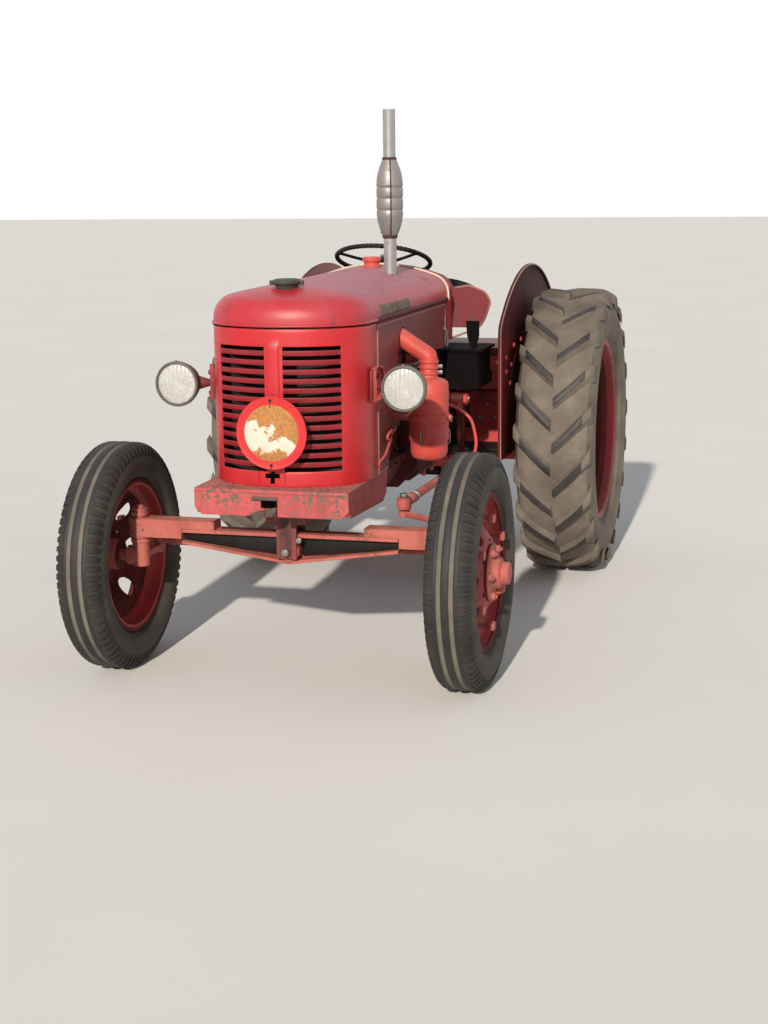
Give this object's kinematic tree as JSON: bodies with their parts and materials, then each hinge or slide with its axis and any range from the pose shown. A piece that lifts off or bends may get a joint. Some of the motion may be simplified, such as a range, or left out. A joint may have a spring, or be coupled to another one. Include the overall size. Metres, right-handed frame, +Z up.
{
  "type": "vintage tractor",
  "caption": "Vintage two-wheel-drive farm tractor with a slotted nose, open engine sides, wide steered front axle, lugged rear tyres and disc fenders.",
  "frame": {"origin": "centre of the tractor's bounding box on the ground plane under the tyres", "axes": "+X to the tractor's left, +Y to its rear (the nose faces -Y), +Z up"},
  "size_m": [1.593, 2.8446, 1.865],
  "materials": {
    "body_paint": "aged red gloss over sheet steel",
    "cast_paint": "dull red over castings",
    "worn_paint": "sun-bleached red with rust",
    "black_iron": "dark oily iron",
    "stack_steel": "weathered bare steel with rust",
    "pto_steel": "turned steel",
    "lamp_shell": "tarnished brown grey",
    "disc_paint": "white enamel with a red ring and rust",
    "wheel_rim": "black moulded rim",
    "front_rubber": "black rubber",
    "rear_rubber": "dusty rubber"
  },
  "bodies": {
    "root": {"front_bolster": "worn_paint", "nose_cowl": "body_paint", "radiator": "black_iron", "speed_disc": "disc_paint", "bonnet": "body_paint", "side_panel_left": "body_paint", "side_panel_right": "body_paint", "engine": "cast_paint", "dynamo": "black_iron", "air_cleaner": "worn_paint", "exhaust_stack": "stack_steel", "filler_caps": "black_iron", "transmission": "cast_paint", "rear_axle": "cast_paint", "scuttle": "body_paint", "dash_panel": "body_paint", "battery_box": "black_iron", "steering_box": "cast_paint", "seat": "black_iron", "seat_support": "black_iron", "toolbox": "body_paint", "footplate_left": "black_iron", "footplate_right": "black_iron", "fender_left": "body_paint", "fender_right": "body_paint", "headlamp_left": "lamp_shell", "headlamp_right": "lamp_shell", "drawbar": "black_iron", "pto_shaft": "pto_steel", "controls": "black_iron", "front_axle": "worn_paint"},
    "knuckle_left": {"knuckle_left": "worn_paint"},
    "knuckle_right": {"knuckle_right": "worn_paint"},
    "drag_link": {"drag_link": "worn_paint"},
    "drop_arm": {"drop_arm": "cast_paint"},
    "track_rod": {"track_rod": "worn_paint"},
    "steering_wheel": {"steering_wheel": "wheel_rim"},
    "front_wheel_left": {"front_wheel_left": "body_paint", "front_tyre_left": "front_rubber"},
    "front_wheel_right": {"front_wheel_right": "body_paint", "front_tyre_right": "front_rubber"},
    "rear_wheel_left": {"rear_wheel_left": "body_paint", "rear_tyre_left": "rear_rubber"},
    "rear_wheel_right": {"rear_wheel_right": "body_paint", "rear_tyre_right": "rear_rubber"}
  },
  "joints": [
    {"name": "steer_left", "type": "hinge", "parent": "root", "child": "knuckle_left", "pos_m": [0.535, -1.03975, 0.45], "axis": [0, 0, 1], "range_deg": [-30, 30]},
    {"name": "steer_right", "type": "hinge", "parent": "root", "child": "knuckle_right", "pos_m": [-0.535, -1.03975, 0.45], "axis": [0, 0, 1], "range_deg": [-30, 30]},
    {"name": "track_rod_swing", "type": "hinge", "parent": "knuckle_left", "child": "track_rod", "pos_m": [0.535, -0.87975, 0.404], "axis": [0, 0, 1], "range_deg": [-30, 30]},
    {"name": "drag_link_swing", "type": "hinge", "parent": "knuckle_left", "child": "drag_link", "pos_m": [0.345, -0.88975, 0.568], "axis": [0, 0, 1], "range_deg": [-34.1, 34.1]},
    {"name": "drop_arm_swing", "type": "hinge", "parent": "root", "child": "drop_arm", "pos_m": [0.25, 0.17525, 0.782], "axis": [1, 0, 0], "range_deg": [-26, 26]},
    {"name": "steering_wheel_turn", "type": "hinge", "parent": "root", "child": "steering_wheel", "pos_m": [-0.085, 0.46025, 1.298], "axis": [0, 0.342, 0.9397], "range_deg": [-360, 360]},
    {"name": "front_wheel_left_spin", "type": "hinge", "parent": "knuckle_left", "child": "front_wheel_left", "pos_m": [0.605, -1.03975, 0.3825], "axis": [1, 0, 0], "continuous": true},
    {"name": "front_wheel_right_spin", "type": "hinge", "parent": "knuckle_right", "child": "front_wheel_right", "pos_m": [-0.605, -1.03975, 0.3825], "axis": [1, 0, 0], "continuous": true},
    {"name": "rear_wheel_left_spin", "type": "hinge", "parent": "root", "child": "rear_wheel_left", "pos_m": [0.638, 0.81025, 0.5835], "axis": [1, 0, 0], "continuous": true},
    {"name": "rear_wheel_right_spin", "type": "hinge", "parent": "root", "child": "rear_wheel_right", "pos_m": [-0.638, 0.81025, 0.5835], "axis": [1, 0, 0], "continuous": true}
  ],
  "couplings": [
    {"joint": "steer_right", "follows": "steer_left", "ratio": 1},
    {"joint": "track_rod_swing", "follows": "steer_left", "ratio": -1},
    {"joint": "drag_link_swing", "follows": "steer_left", "ratio": -1.134},
    {"joint": "drop_arm_swing", "follows": "steer_left", "ratio": -0.85},
    {"joint": "steering_wheel_turn", "follows": "steer_left", "ratio": 12}
  ]
}
